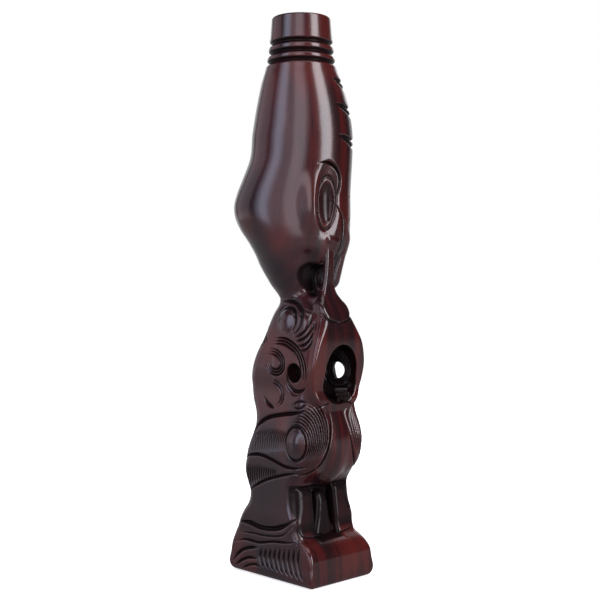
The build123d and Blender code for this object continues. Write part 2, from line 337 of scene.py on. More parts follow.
class Field:
    """Distance field on a regular grid. Masses are added to it and hollows are cut from it.

    The whole form is the same field without its darkened cuts, where the stain lies, and its hollows
    darkened as painted shade, and with the painted shade over the leg fronts added.
    """

    def __init__(self, low, high):
        self.low = np.array(low, dtype=float)
        self.count = np.ceil((np.array(high) - self.low) / VOXEL).astype(int)
        self.axes = [(self.low[i] + VOXEL * np.arange(self.count[i])).astype(np.float32) for i in range(3)]
        self.d = np.full(self.count, EMPTY, dtype=np.float32)
        self.whole = self.d.copy()

    def window(self, low, high):
        """The part of the grid between two corners, and its coordinates."""
        spans = []
        for i in range(3):
            start = int(np.searchsorted(self.axes[i], low[i]))
            stop = int(np.searchsorted(self.axes[i], high[i]))
            spans.append(slice(start, stop))
        x = self.axes[0][spans[0]][:, None, None]
        y = self.axes[1][spans[1]][None, :, None]
        z = self.axes[2][spans[2]][None, None, :]
        return tuple(spans), x, y, z

    def add(self, low, high, shape, blend):
        """Joins a mass on."""
        spans, x, y, z = self.window(low, high)
        mass = shape(x, y, z)
        self.d[spans] = smooth_union(self.d[spans], mass, blend)
        self.whole[spans] = smooth_union(self.whole[spans], mass, blend)

    def cut(self, low, high, shape, blend, stain_and_shade=True):
        """Cuts a hollow. Its inside takes the dark stain colour as painted shade, as the whole form lacks
        it, unless the flag is false.
        """
        spans, x, y, z = self.window(low, high)
        hollow = shape(x, y, z)
        self.d[spans] = smooth_cut(self.d[spans], hollow, blend)
        if not stain_and_shade:
            self.whole[spans] = smooth_cut(self.whole[spans], hollow, blend)

    def shade(self, low, high, shape, blend):
        """Paints shade, in the dark stain colour, on what lies inside a shape, without changing the
        surface.
        """
        spans, x, y, z = self.window(low, high)
        self.whole[spans] = smooth_union(self.whole[spans], shape(x, y, z), blend)

    def at(self, points, values=None):
        """A field's values at points, read between grid nodes."""
        values = self.d if values is None else values
        p = (points - self.low) / VOXEL
        i = np.clip(np.floor(p).astype(int), 1, self.count - 3)
        f = (p - i).astype(np.float32)
        corner = {}
        for dx in (0, 1):
            for dy in (0, 1):
                for dz in (0, 1):
                    corner[dx, dy, dz] = values[i[:, 0] + dx, i[:, 1] + dy, i[:, 2] + dz]
        fx, fy, fz = f.T

        def mix(a, b, t):
            return a + (b - a) * t

        x0 = mix(corner[0, 0, 0], corner[1, 0, 0], fx)
        x1 = mix(corner[0, 1, 0], corner[1, 1, 0], fx)
        x2 = mix(corner[0, 0, 1], corner[1, 0, 1], fx)
        x3 = mix(corner[0, 1, 1], corner[1, 1, 1], fx)
        return mix(mix(x0, x1, fy), mix(x2, x3, fy), fz)


# ---------------------------------------------------------------- masses
def head_mass(x, y, z):
    """Head and crown, as level ovals given by a table in the head's own axes."""
    forward, side = head_axes(x, y)
    back, face, half = smooth_rows(HEAD_ROWS, z)
    middle = (face - back) / 2
    depth = (face + back) / 2
    pf, ps = (forward - middle) / depth, side / half
    k = np.sqrt(pf**2 + ps**2) + TINY
    slope = np.sqrt((pf / depth) ** 2 + (ps / half) ** 2) + TINY
    d = k * (k - 1.0) / slope
    ends = np.maximum(HEAD_ROWS[0][0] - z, z - HEIGHT)
    return -smooth_union(-d, -ends + 0.0 * d, 1.6)


def face_lump(centre, radii):
    """Shape function for an ellipsoid set in the head's own axes, on both sides of the face."""
    forward, side, z = centre

    def shape(x, y, height):
        f, s = head_axes(x, y)
        return ellipsoid(np.abs(s), f, height, (side, forward, z), (radii[1], radii[0], radii[2]))

    return shape


def facing_eye(place, radii):
    """Shape function for an ellipsoid that looks outwards through each eye."""
    radius, z = place

    def shape(x, y, height):
        f, s = head_axes(x, y)
        s = np.abs(s)
        out = f * math.cos(EYE_TURN) + s * math.sin(EYE_TURN)
        round_by = -f * math.sin(EYE_TURN) + s * math.cos(EYE_TURN)
        return ellipsoid(round_by, out, height, (0.0, radius, z), radii)

    return shape


def muzzle(x, y, z):
    """Squashed rod down the middle of the face."""
    forward, side = head_axes(x, y)
    start, end = ((0.0, *point) for point in MUZZLE)
    return capsule(side / MUZZLE_SQUASH, forward, z, start, end, MUZZLE_RADIUS) * MUZZLE_SQUASH


def lump(centre, radii):
    """Shape function for an ellipsoid."""
    return lambda x, y, z: ellipsoid(x, y, z, centre, radii)


def column(rows, blend=1.0):
    """Shape function for a rounded column given by a table."""
    return lambda x, y, z: rounded_column(x, y, z, rows, blend)


def both_sides(shape):
    """Shape function mirrored across the middle of the body."""
    return lambda x, y, z: shape(np.abs(x), y, z)


def finger(step):
    """Shape function for one rounded finger, a number of steps up from the lowest."""
    knuckle = KNUCKLE + step * KNUCKLE_STEP
    tip = FINGERTIP + step * FINGERTIP_STEP
    return lambda x, y, z: capsule(x, y, z, knuckle, tip, FINGER_RADIUS)


def arm_holes(x, y, z):
    """Hole through both arms, which flares away from its waist, most on the left arm's outside."""
    radius = np.where(x > 0.0, LEFT_HOLE_RADIUS, RIGHT_HOLE_RADIUS)
    flare = np.where(x > ARM_HOLE_WAIST, LEFT_OUTER_FLARE, HOLE_FLARE)
    radius = radius + flare * np.abs(np.abs(x) - ARM_HOLE_WAIST)
    return (np.sqrt((y - ARM_HOLE_Y) ** 2 + (z - ARM_HOLE_Z) ** 2) - radius) * HOLE_SLOPE


def leg_gap(x, y, z):
    """Square gap between the legs, open to the front."""
    across = np.maximum(np.abs(x) - LEG_GAP_HALF, y - LEG_GAP_BACK)
    return np.maximum(across, np.abs(z - LEG_GAP_MIDDLE) - LEG_GAP_REACH)


def pad_recess(x, y, z):
    """Shallow square recess that the felt pad sits in."""
    across = np.maximum(
        np.abs(x) - float(PAD_HIGH[0]) - PAD_CLEARANCE,
        np.abs(y) - float(PAD_HIGH[1]) - PAD_CLEARANCE,
    )
    return np.maximum(across, z - float(PAD_HIGH[2]))


def build_masses(field):
    """Every mass and hollow, in the order that they are joined: two corners, shape, blend."""
    low, high = (-60, -60, -5), (60, 60, HEIGHT + 5)
    field.add(low, (60, 60, 40), column(FOOT_ROWS, 2.0), 0.5)
    field.add((-60, -60, 18), (60, 60, 234), column(BODY_ROWS), 1.2)
    field.add((-60, -60, 190), high, head_mass, 4.0)

    # Cheek bones, the facets that hold the eyes, and the dished eyes
    eyes_low, eyes_high = (-60, -60, 240), (60, 60, 292)
    field.add((-60, -60, 230), (60, 60, 310), face_lump(*CHEEK_BONE), 6.0)
    field.cut((-60, -60, 222), (60, 60, 306), facing_eye(*EYE_FACET), 1.6, stain_and_shade=False)
    field.cut(eyes_low, eyes_high, facing_eye(*EYE_DISH), 0.6, stain_and_shade=False)
    # Painted shade in the bottom of each eye's dish
    field.cut(eyes_low, eyes_high, facing_eye(*EYE_DISH_SHADED), 0.6)

    # Chest, the neck gap behind the tongue, and the face below the eyes
    field.add((-60, -60, 112), (60, 10, 206), column(CHEST_ROWS), 3.0)
    # Painted shade: the inside of the neck gap takes the near black
    field.cut((-60, -44, 190), (60, 4, 240), both_sides(lump(*NECK_GAP)), 4.0)
    field.cut((-60, -50, 200), (60, 10, 250), both_sides(lump(*JAW_HOLLOW)), 6.0, stain_and_shade=False)
    field.add((-60, -60, 190), (60, 60, 280), muzzle, 4.0)
    field.add((-24, -60, 180), (24, -14, 244), column(TONGUE_ROWS), 0.8)
    field.add((-20, -50, 228), (20, -20, 250), lambda x, y, z: capsule(x, y, z, *LIP, LIP_RADIUS), 2.0)

    # Hollow between the arms, open to the belly below, with a hand at each side of it
    # Painted shade: the insides of the hollow and its mouth take the near black
    field.cut((-34, -60, 118), (34, 0, 180), lump(*HOLLOW), 1.2)
    field.cut((-34, -60, 110), (34, -20, 150), lump(*HOLLOW_MOUTH), 1.6)
    for step in range(FINGERS):
        field.add((-30, -50, 118), (30, -14, 150), both_sides(finger(step)), 0.6)
    # Painted shade: the insides of the holes through the arms take the near black
    field.cut((-60, -38, 128), (60, -4, 166), arm_holes, 1.0)

    # Shoulder bosses, knees and thighs, and the belly
    field.add((-40, -30, 160), (40, 16, 204), both_sides(lump(*SHOULDER)), 2.0)
    field.add((-46, -52, 70), (46, 6, 130), both_sides(lump(*THIGH)), 4.0)
    field.add((-46, -46, 80), (46, -8, 116), both_sides(lump(*KNEE_BOSS)), 0.8)
    field.add((-40, -60, 60), (40, 0, 136), both_sides(lump(*BELLY)), 4.0)

    # The gap between the legs, the post that stands in it, and the recess under the foot
    # Painted shade: the inside of the gap between the legs takes the near black
    field.cut((-24, -60, 20), (24, -2, 76), leg_gap, 4.0)
    field.add((-16, -36, 22), (16, -2, 72), column(POST_ROWS, 2.0), 1.6)
    # Painted shade on the fronts of the legs, under the belly
    field.shade((-34, -36, 30), (34, 0, 74), column(LEG_SHADE_ROWS), 1.0)
    field.cut((-40, -60, -5), (40, 60, 4), pad_recess, 0.3)


# ---------------------------------------------------------------- carved strokes
def curve_points(points, steps=14):
    """Smooth curve through given points."""
    p = np.array(points, dtype=float)
    p = np.vstack([2 * p[0] - p[1], p, 2 * p[-1] - p[-2]])
    out = []
    for i in range(1, len(p) - 2):
        for t in np.arange(steps) / steps:
            out.append(0.5 * (
                2 * p[i]
                + (p[i + 1] - p[i - 1]) * t
                + (2 * p[i - 1] - 5 * p[i] + 4 * p[i + 1] - p[i + 2]) * t**2
                + (3 * p[i] - p[i - 1] - 3 * p[i + 1] + p[i + 2]) * t**3
            ))
    out.append(p[-2])
    return np.array(out)


def stroke_depth(a, b, points, width, depth, taper=0.5):
    """Depth of one V cut at surface points (a, b). Its ends thin out over a taper share of its length."""
    path = curve_points(points)
    reach = width / 2
    low, high = path.min(0) - reach, path.max(0) + reach
    near = np.flatnonzero((a > low[0]) & (a < high[0]) & (b > low[1]) & (b < high[1]))
    out = np.zeros(len(a), dtype=np.float32)
    if not len(near):
        return out
    pa, pb = a[near], b[near]
    best = np.full(len(near), np.inf, dtype=np.float32)
    along = np.zeros(len(near), dtype=np.float32)
    lengths = np.linalg.norm(np.diff(path, axis=0), axis=1)
    total = lengths.sum()
    start = 0.0
    for (x0, y0), (x1, y1), length in zip(path[:-1], path[1:], lengths):
        if length == 0:
            continue
        tx, ty = (x1 - x0) / length, (y1 - y0) / length
        t = np.clip((pa - x0) * tx + (pb - y0) * ty, 0.0, length)
        dist = (pa - x0 - t * tx) ** 2 + (pb - y0 - t * ty) ** 2
        closer = dist < best
        best[closer] = dist[closer]
        along[closer] = (start + t[closer]) / total
        start += length
    thin = np.clip(np.minimum(along, 1.0 - along) / (taper / 2 + TINY), 0.0, 1.0) ** 0.7
    q = np.clip(1.0 - np.sqrt(best) / (reach * thin + TINY), 0.0, 1.0)
    out[near] = depth * thin * (q * q * (1.6 - 0.6 * q))
    return out


# Strokes on each flank, as (depth along the figure, height): points, width, depth
FLANK_STROKES = (
    # shoulder spiral
    (((3.0, 196.5), (-6.0, 196.5), (-14.5, 193.6), (-20.5, 188.6), (-22.4, 182.6), (-20.4, 176.5),
      (-15.5, 172.2)), 4.2, 1.7),
    (((1.0, 186.5), (-2.5, 191.0), (-9.5, 191.8), (-15.2, 187.8), (-17.2, 181.0), (-14.0, 174.0)),
     3.4, 1.6),
    # claws in front of the shoulder
    (((-27.2, 189.0), (-28.5, 181.5), (-26.0, 175.0), (-18.0, 171.0)), 2.8, 1.5),
    (((-31.2, 183.0), (-31.4, 176.5), (-27.5, 171.0), (-19.5, 168.5)), 2.8, 1.5),
    (((-33.2, 177.5), (-33.0, 171.8), (-29.5, 167.0), (-22.5, 165.6)), 2.8, 1.5),
    (((-34.6, 172.0), (-34.2, 167.5), (-31.0, 163.5), (-25.5, 162.8)), 2.6, 1.4),
    # band that sweeps down in front of the hole
    (((-13.5, 146.5), (-15.0, 139.5), (-20.5, 134.8), (-27.0, 134.6), (-32.0, 138.0)), 4.2, 1.5),
    (((-11.0, 143.0), (-14.0, 135.5), (-21.0, 131.2), (-29.0, 132.2)), 1.8, 0.8),
    # hooks behind the hole
    (((11.0, 128.5), (6.5, 124.0), (-1.5, 120.4)), 3.8, 1.4),
    (((-19.0, 124.0), (-25.5, 127.4), (-32.0, 126.4)), 2.0, 1.0),
    (((-19.0, 124.0), (-26.0, 122.6), (-32.0, 126.4)), 1.8, 0.9),
    # thigh: upper edge, lower edge, and the line under the band below it
    (((20.5, 100.0), (14.0, 108.0), (4.0, 114.0), (-12.0, 117.5), (-25.0, 119.5), (-33.0, 122.5)),
     4.0, 2.0),
    (((32.0, 80.0), (22.0, 85.5), (9.0, 87.0), (-4.0, 84.5), (-16.0, 81.6), (-27.0, 81.5),
      (-36.0, 83.0)), 3.2, 1.7),
    (((24.0, 58.0), (16.0, 64.0), (5.0, 69.5), (-9.0, 74.0), (-21.0, 77.0), (-31.0, 78.0)), 3.0, 1.5),
    # ankle
    (((36.0, 35.5), (22.0, 37.0), (8.0, 35.2), (-6.0, 36.8), (-17.0, 41.0), (-26.0, 46.5)), 5.4, 2.1),
    (((36.0, 27.5), (20.0, 29.6), (4.0, 30.0), (-11.0, 32.4), (-20.0, 37.5), (-25.0, 42.5)), 2.2, 1.0),
    # foot: wavy scroll and leaves
    (((38.5, 20.0), (26.0, 24.0), (11.0, 24.2), (-3.0, 27.0), (-17.0, 28.6), (-30.0, 30.5)), 2.8, 1.3),
    (((38.5, 5.5), (33.0, 13.0), (24.0, 18.0), (10.5, 20.8)), 3.6, 1.6),
    (((36.5, 3.2), (28.0, 9.0), (20.0, 12.0), (11.0, 12.4)), 3.2, 1.5),
    (((29.0, 2.4), (21.0, 6.4), (13.0, 8.2), (7.5, 6.6)), 2.8, 1.3),
)

# Bands of side-by-side lines on each flank: points, how many, gap, width, depth
FLANK_RIBBONS = (
    (((4.0, 170.5), (-9.0, 170.5), (-20.0, 166.6), (-27.5, 160.8), (-31.8, 152.5), (-32.2, 143.5),
      (-29.5, 138.0)), 3, 2.1, 2.3, 1.5),
    (((6.0, 163.5), (-3.0, 162.0), (-10.5, 156.5), (-11.0, 149.0), (-4.5, 144.6), (3.5, 146.0),
      (9.0, 151.5)), 3, 2.0, 2.3, 1.4),
    (((14.0, 190.0), (15.0, 182.0), (13.0, 173.0), (8.0, 166.5)), 4, 2.4, 2.2, 1.3),
    (((3.0, 141.5), (-5.0, 139.0), (-9.5, 133.0), (-8.5, 126.0), (-4.0, 121.5)), 2, 2.2, 2.2, 1.2),
)

# How much wider and deeper the flank's strokes are cut than their tables say
FLANK_WIDEN = 1.15
FLANK_DEEPEN = 1.2

# Strokes on the front, mirrored, as (distance from the middle, height): points, width, depth
FRONT_STROKES = (
    (((15.0, 197.0), (15.4, 191.0), (12.6, 185.6), (7.0, 182.6), (-1.5, 181.8)), 3.0, 1.4),
    (((20.0, 121.0), (14.0, 124.5), (5.0, 126.5)), 2.2, 1.0),
    (((27.5, 38.0), (24.0, 33.6), (14.0, 31.8), (-4.0, 31.2)), 2.4, 1.0),
    # Painted shade: a dark groove across the fronts under the belly, standing in for the shade line there
    (((27.0, 66.5), (16.0, 65.4), (6.0, 65.2), (-4.0, 65.2)), 5.5, 1.8),
)

# Strokes on the face, mirrored, as (distance round from the middle of the face, height)
FACE_STROKES = (
    # brow that hooks down beside the nose
    (((39.0, 292.5), (30.0, 293.5), (22.5, 289.5), (18.6, 282.0), (19.5, 273.5), (23.5, 268.0)),
     3.4, 1.9),
    # cheek lines down to the chin
    (((24.0, 268.0), (19.0, 262.0), (14.5, 254.0), (13.5, 243.0), (14.5, 230.0), (15.0, 216.0)),
     2.8, 1.7),
    (((14.5, 257.0), (8.6, 250.0), (5.6, 240.0), (6.2, 229.0), (8.4, 219.0), (10.0, 211.0)), 2.2, 1.4),
    # nose notches
    (((6.0, 272.0), (0.0, 270.0), (-6.0, 272.0)), 3.0, 1.5),
    (((6.0, 256.0), (0.0, 254.0), (-6.0, 256.0)), 3.0, 1.5),
)

# Frown lines on the forehead: height of each pair's outer ends, and how far round they reach
FROWNS = ((355.0, 19.0), (336.0, 22.0), (313.5, 23.0))
FROWN_DROPS = (2.0, 7.0)

# Knee boss, as (depth, height), and how far out the flank lies
KNEE = (26.5, 98.5)
KNEE_HALF = (10.0, 11.6)
FLANK_REACH = 29.5

# Edge of the thigh in front of the knee, as (way round the thigh, height)
THIGH_EDGE = (
    (53.0, 124.0), (58.5, 119.0), (60.5, 109.0), (59.0, 98.0),
    (54.0, 88.0), (45.0, 80.5), (33.0, 76.5), (22.0, 77.5),
)


def ribbon(points, count, gap):
    """A stroke repeated side by side, each a step nearer the inside of the curve."""
    path = np.array(points)
    run = np.gradient(path, axis=0)
    side = np.stack([-run[:, 1], run[:, 0]], axis=1)
    side /= np.linalg.norm(side, axis=1, keepdims=True)
    for i in range(count):
        yield path + side * gap * i


def flank_ribbons():
    """The strokes of every band on the flank."""
    for points, count, gap, width, depth in FLANK_RIBBONS:
        for line in ribbon(points, count, gap):
            yield line, width, depth


def forehead_strokes():
    """Three pairs of frown lines that meet at their outer ends."""
    width, depth = 4.2, 2.0
    for z, reach in FROWNS:
        for drop in FROWN_DROPS:
            outer, inner = (reach, z), (reach * 0.5, z - drop * 0.55)
            middle, beyond = (0.0, z - drop), (-reach * 0.3, z - drop * 0.8)
            yield (outer, inner, middle, beyond), width, depth


def foot_gouges():
    """Row of curved gouge cuts on the side of the foot."""
    count, width, depth, bulge = 9, 3.3, 1.5, 3.2
    for i in range(count):
        t = i / (count - 1)
        top = (7.5 - 37.5 * t, 21.5 + 6.2 * t)
        bottom = (4.5 - 40.0 * t, 7.2 - 2.8 * t)
        middle = ((top[0] + bottom[0]) / 2 + bulge, (top[1] + bottom[1]) / 2)
        yield (top, middle, bottom), width, depth


def unrolled(x, y):
    """How far round the thigh a point lies, from the flank forwards and on across the front."""
    across = np.clip((-y - 14.0) / 12.0, 0.0, 1.0)
    return -y + np.maximum(FLANK_REACH - np.abs(x), 0.0) * across


def arcs_behind_knee():
    """Fine arcs that spread backwards over the thigh from the knee boss."""
    for i in range(20):
        radius = 12.5 + 1.9 * i
        spread = math.radians(78.0 * 13.0 / radius + 9.0)
        centre = math.radians(184.0 - 0.55 * i)
        angles = [centre + spread * k / 2 for k in (-1.0, -0.5, 0.0, 0.5, 1.0)]
        yield [(KNEE[0] + radius * math.cos(t), KNEE[1] - radius * math.sin(t) * 0.9) for t in angles]


def arcs_before_knee():
    """Fine arcs that climb forwards and upwards from the knee boss."""
    for i in range(10):
        radius = 13.0 + 1.35 * i
        middle = (KNEE[0] + 0.62 * i, KNEE[1] + 0.72 * i)
        low, high = math.radians(-72.0 + 3.0 * i), math.radians(128.0 - 7.0 * i)
        angles = [low + (high - low) * k / 6 for k in range(7)]
        yield [(middle[0] + radius * math.cos(t), middle[1] + radius * math.sin(t)) for t in angles]


def knee_strokes():
    """Fine curved lines round the knee boss, and the edge of the thigh in front of it."""
    for arc in arcs_behind_knee():
        yield arc, 2.0, 1.2
    for arc in arcs_before_knee():
        yield arc, 2.2, 1.2
    yield THIGH_EDGE, 2.8, 1.7


def calf_hatching():
    """Short upright lines in the band below the thigh."""
    width, depth = 2.1, 1.2
    for i in range(14):
        y = 25.0 - 2.4 * i
        top = 81.0 - 0.12 * abs(y - 12.0)
        bottom = 62.0 + 0.42 * (18.0 - y)
        yield ((y, top), (y + 0.9, (top + bottom) / 2), (y + 0.2, bottom)), width, depth


def ring_depth(a, b, centre, radii, width, depth):
    """Depth of a ring cut round an oval."""
    pa, pb = (a - centre[0]) / radii[0], (b - centre[1]) / radii[1]
    distance = (np.sqrt(pa**2 + pb**2) - 1.0) * min(radii)
    return depth * np.clip(1.0 - np.abs(distance) / (width / 2), 0.0, 1.0)


def eye_depth(a, b):
    """Raised rim round the dished eye, and the line cut round it. Above the surface is negative."""
    rim_height, rim_place, rim_width = 0.45, 0.97, 0.10
    line_depth, line_place, line_width = 0.9, 1.14, 0.11
    lean = 0.06 * (b - EYE_CENTRE[1])
    pa = (a - EYE_CENTRE[0] + lean) / EYE_HALF[0]
    pb = (b - EYE_CENTRE[1]) / EYE_HALF[1]
    rho = np.sqrt(pa**2 + pb**2)
    rim = -rim_height * np.clip(1.0 - np.abs(rho - rim_place) / rim_width, 0.0, 1.0)
    outline = line_depth * np.clip(1.0 - np.abs(rho - line_place) / line_width, 0.0, 1.0)
    return rim + outline


def deepest_cut(a, b, *cuts, widen=1.0, deepen=1.0):
    """Depth of the deepest of several sets of strokes at surface points (a, b)."""
    deepest = np.zeros(len(a), dtype=np.float32)
    for strokes in cuts:
        for points, width, depth in strokes:
            np.maximum(deepest, stroke_depth(a, b, points, widen * width, deepen * depth), out=deepest)
    return deepest


def fade_in(value, start, run):
    """0 below start, rising to 1 over a run."""
    return np.clip((value - start) / run, 0.0, 1.0)


# Share of a surface's outward normal that has to point at a side for that side's strokes to reach it
FACING = 0.3


def carve_flanks(depth, x, y, z, normals):
    """Strokes on the parts of each flank that face sideways."""
    flank = np.flatnonzero((z < 202.0) & (np.abs(normals[:, 0]) > FACING) & (np.abs(x) > 11.0))
    facing = fade_in(np.abs(normals[flank, 0]), FACING, FACING)
    sets = (FLANK_STROKES, flank_ribbons(), foot_gouges(), calf_hatching())
    depth[flank] = facing * deepest_cut(y[flank], z[flank], *sets, widen=FLANK_WIDEN, deepen=FLANK_DEEPEN)


def carve_thighs(depth, x, y, z, normals):
    """Ring round each knee boss and the fine lines round it, where the surface is upright."""
    thigh = np.flatnonzero((z > 66.0) & (z < 126.0) & (np.abs(x) > 6.0) & (y < 34.0))
    a, b = unrolled(x[thigh], y[thigh]), z[thigh]
    ring = ring_depth(a, b, KNEE, KNEE_HALF, 2.4, 1.4)
    upright = np.clip((0.8 - np.abs(normals[thigh, 2])) / 0.3, 0.0, 1.0)
    cut = np.maximum(ring, deepest_cut(a, b, knee_strokes())) * upright
    depth[thigh] = np.maximum(depth[thigh], cut)


def carve_front(depth, x, y, z, normals):
    """Strokes on the front of the body."""
    front = np.flatnonzero((z > 27.0) & (z < 206.0) & (normals[:, 1] < -FACING) & (y < -20.0))
    facing = fade_in(-normals[front, 1], FACING, FACING)
    cut = deepest_cut(np.abs(x[front]), z[front], FRONT_STROKES) * facing
    depth[front] = np.maximum(depth[front], cut)


def carve_face(depth, x, y, z, normals):
    """Strokes and eyes, laid round the head wherever its surface faces away from its axis."""
    head = np.flatnonzero(z > 208.0)
    forward, side = head_axes(x[head], y[head])
    outward = head_axes(normals[head, 0], normals[head, 1])
    on_face = (outward[0] * forward + outward[1] * side) > FACING * np.hypot(forward, side)
    head, forward, side = head[on_face], forward[on_face], side[on_face]
    a, b = np.abs(np.arctan2(side, forward)) * FACE_RADIUS, z[head]
    cut = deepest_cut(a, b, FACE_STROKES, forehead_strokes())
    eye = eye_depth(a, b)
    depth[head] = np.where(np.abs(eye) > cut, eye, cut)


def carve_crown(depth, z):
    """Three rings turned in the crown."""
    crown = np.flatnonzero((z > 362.0) & (z < 386.0))
    for ring in RING_GROOVES:
        cut = RING_DEPTH * np.clip(1.0 - np.abs(z[crown] - ring) / (RING_WIDTH / 2), 0.0, 1.0)
        depth[crown] = np.maximum(depth[crown], cut)


def carving_depth(points, normals):
    """How deep the carver's cuts go below the smooth masses at points with outward normals."""
    x, y, z = points.T
    depth = np.zeros(len(points), dtype=np.float32)
    carve_flanks(depth, x, y, z, normals)
    carve_thighs(depth, x, y, z, normals)
    carve_front(depth, x, y, z, normals)
    carve_face(depth, x, y, z, normals)
    carve_crown(depth, z)
    return depth


# ---------------------------------------------------------------- mesh
def slopes(field, cells):
    """Unit outward slope of the field at grid nodes."""
    i, j, k = cells.T
    gradient = np.stack([
        field.d[i + 1, j, k] - field.d[i - 1, j, k],
        field.d[i, j + 1, k] - field.d[i, j - 1, k],
        field.d[i, j, k + 1] - field.d[i, j, k - 1],
    ], axis=1)
    return gradient / (np.linalg.norm(gradient, axis=1, keepdims=True) + TINY)


def field_and_slope(field, points):
    """Field and unit slope at free points."""
    step = 0.5 * VOXEL
    gradient = []
    for axis in range(3):
        shift = np.zeros(3)
        shift[axis] = step
        gradient.append((field.at(points + shift) - field.at(points - shift)) / (2 * step))
    gradient = np.stack(gradient, axis=1)
    size = np.linalg.norm(gradient, axis=1, keepdims=True) + TINY
    return field.at(points) / size[:, 0], gradient / size


def carve_field(field):
    """Cuts the strokes into the field, only near its surface."""
    inner = field.d[1:-1, 1:-1, 1:-1]
    cells = np.argwhere((inner > -CUT_DEEPEST - SURFACE_BAND) & (inner < SURFACE_BAND)) + 1
    points = field.low + cells * VOXEL
    field.d[tuple(cells.T)] += carving_depth(points, slopes(field, cells))


def in_largest_piece(count, quads):
    """Which of the points belong to the largest connected piece."""
    label = np.arange(count)
    while True:
        lowest = label.copy()
        np.minimum.at(lowest, quads.ravel(), np.repeat(label[quads].min(axis=1), 4))
        lowest = lowest[lowest]
        if (lowest == label).all():
            return label == np.bincount(label).argmax()
        label = lowest


def surface(field):
    """Points and faces of the field's surface, without the crumbs that thin walls leave between cuts."""
    grid = openvdb.FloatGrid(MESH_BAND)
    grid.copyFromArray(np.clip(field.d, -MESH_BAND, MESH_BAND))
    points, quads = grid.convertToQuads(0.0)
    kept = in_largest_piece(len(points), quads)
    quads = (np.cumsum(kept) - 1)[quads[kept[quads[:, 0]]]]
    points = field.low + points[kept].astype(float) * VOXEL
    for _ in range(SETTLE_PASSES):
        distance, slope = field_and_slope(field, points)
        points -= np.clip(distance, -SETTLE_REACH, SETTLE_REACH)[:, None] * slope
    return points, quads[:, ::-1]


def figure_mesh():
    """The carved figure, with how far each point lies below the uncut form, for the stain and the painted
    shade.
    """
    field = Field(FIGURE_LOW - FIELD_MARGIN, FIGURE_HIGH + FIELD_MARGIN)
    build_masses(field)
    carve_field(field)
    points, quads = surface(field)
    depth = np.clip(-field.at(points, field.whole), *STAIN_AND_SHADE_RANGE)
    mesh = bpy.data.meshes.new("carved_wood")
    mesh.from_pydata((points * MM).tolist(), [], quads.tolist())
    mesh.validate()
    attribute = mesh.attributes.new("cut_depth", "FLOAT", "POINT")
    attribute.data.foreach_set("value", depth.astype(np.float32))
    mesh.shade_smooth()
    return mesh


def make_felt_pad():
    """Felt pad with a soft rolled edge, in the place the frame gives it."""
    corner, edge, sharp_angle = 0.008, 0.0003, 1.0
    mesh = bpy.data.meshes.new("felt")
    bm = bmesh.new()
    bmesh.ops.create_cube(bm, size=1.0)
    size = Vector(PAD_HIGH - PAD_LOW) * MM
    middle = Vector(PAD_HIGH + PAD_LOW) * MM / 2
    for vertex in bm.verts:
        vertex.co = Vector([c * s for c, s in zip(vertex.co, size)]) + middle
    upright = [e for e in bm.edges if abs(e.verts[0].co.z - e.verts[1].co.z) > size.z / 2]
    bmesh.ops.bevel(bm, geom=upright, offset=corner, segments=12, affect="EDGES", profile=0.5)
    rims = [e for e in bm.edges if len(e.link_faces) == 2 and e.calc_face_angle(0.0) > sharp_angle]
    bmesh.ops.bevel(bm, geom=rims, offset=edge, segments=3, affect="EDGES", profile=0.5)
    bm.to_mesh(mesh)
    bm.free()
    mesh.shade_smooth()
    return mesh


# ---------------------------------------------------------------- materials
class Nodes:
    """Short names for building a node tree."""

    def __init__(self, name):
        self.material = bpy.data.materials.new(name)
        self.material.use_nodes = True
        self.tree = self.material.node_tree
        self.shader = self.tree.nodes["Principled BSDF"]

    def node(self, kind, **values):
        node = self.tree.nodes.new(kind)
        for key, value in values.items():
            setattr(node, key, value)
        return node

    def link(self, output, target):
        self.tree.links.new(output, target)

    def put(self, target, value):
        if isinstance(value, bpy.types.NodeSocket):
            self.link(value, target)
        else:
            target.default_value = value

    def math(self, operation, a, b):
        node = self.node("ShaderNodeMath", operation=operation)
        self.put(node.inputs[0], a)
        self.put(node.inputs[1], b)
        return node.outputs[0]

    def remap(self, value, low, high, out_low=0.0, out_high=1.0):
        node = self.node("ShaderNodeMapRange", interpolation_type="SMOOTHSTEP")
        self.put(node.inputs["Value"], value)
        ends = {"From Min": low, "From Max": high, "To Min": out_low, "To Max": out_high}
        for key, number in ends.items():
            node.inputs[key].default_value = number
        return node.outputs["Result"]

    def mix(self, share, a, b):
        node = self.node("ShaderNodeMix", data_type="RGBA")
        self.put(node.inputs["Factor"], share)
        self.put(node.inputs["A"], a)
        self.put(node.inputs["B"], b)
        return node.outputs["Result"]

    def place(self, scale, turn=(0.0, 0.0, 0.0)):
        coordinates = self.node("ShaderNodeTexCoord")
        mapping = self.node("ShaderNodeMapping")
        mapping.inputs["Scale"].default_value = scale
        mapping.inputs["Rotation"].default_value = turn
        self.link(coordinates.outputs["Object"], mapping.inputs["Vector"])
        return mapping.outputs["Vector"]

    def noise(self, vector, scale, detail, rough):
        node = self.node("ShaderNodeTexNoise")
        self.link(vector, node.inputs["Vector"])
        node.inputs["Scale"].default_value = scale
        node.inputs["Detail"].default_value = detail
        node.inputs["Roughness"].default_value = rough
        return node.outputs["Fac"]

    def bump(self, height, strength, distance):
        node = self.node("ShaderNodeBump")
        node.inputs["Strength"].default_value = strength
        node.inputs["Distance"].default_value = distance
        self.link(height, node.inputs["Height"])
        self.link(node.outputs["Normal"], self.shader.inputs["Normal"])


